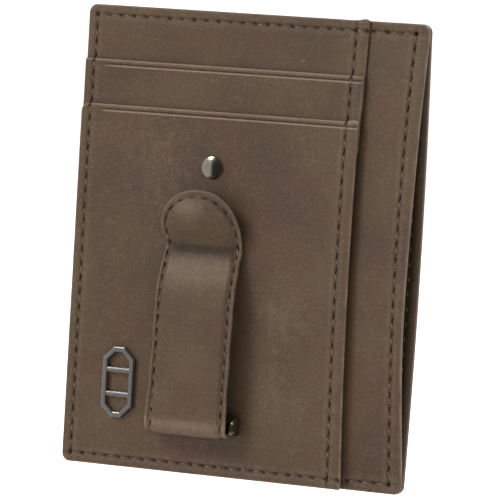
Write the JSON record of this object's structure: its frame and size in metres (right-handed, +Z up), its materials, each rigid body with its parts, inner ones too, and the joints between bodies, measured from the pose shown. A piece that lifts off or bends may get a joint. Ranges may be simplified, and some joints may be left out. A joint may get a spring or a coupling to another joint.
{
  "type": "minimalist wallet",
  "caption": "Front-pocket leather wallet with stacked card slots, a side-opening centre pocket and a sprung, leather-covered money clip.",
  "frame": {"origin": "bottom centre of the object's box, standing upright", "axes": "+Z up towards the slots' mouths, -Y is the front with the clip, +X towards the side where the centre pocket opens"},
  "size_m": [0.0826, 0.0137, 0.1048],
  "materials": {
    "leather": "satin, pull-up",
    "clip_lining_leather": "matte",
    "lining": "matte twill",
    "thread": "bonded nylon thread",
    "spring_steel": "satin",
    "gunmetal": "polished black nickel"
  },
  "bodies": {
    "wallet": {"back_panel": "leather", "back_lining": "lining", "front_panel": "leather", "front_lining": "lining", "stack_back_panel": "leather", "stack_lining": "lining", "upper_pocket_panel": "leather", "upper_pocket_lining": "lining", "lower_pocket_panel": "leather", "perimeter_stitching": "thread", "stack_hem_stitching": "thread", "front_mouth_stitching": "thread", "back_mouth_stitching": "thread", "clip_base_plate": "spring_steel", "hinge_pin": "gunmetal", "torsion_spring": "spring_steel", "clip_rivet": "gunmetal", "badge": "gunmetal", "badge_clinch_washers": "spring_steel"},
    "clip": {"clip_arm": "spring_steel", "clip_cover_outer": "leather", "clip_cover_inner": "clip_lining_leather", "clip_stitching": "thread"}
  },
  "joints": [
    {"name": "clip_hinge", "type": "hinge", "parent": "wallet", "child": "clip", "pos_m": [-0.00835, -0.00209, 0.0121], "axis": [1, 0, 0], "range_deg": [0, 40], "stiffness_Nm_per_rad": 0.12, "springref_deg": -45.84, "deforming": ["torsion_spring"]}
  ]
}
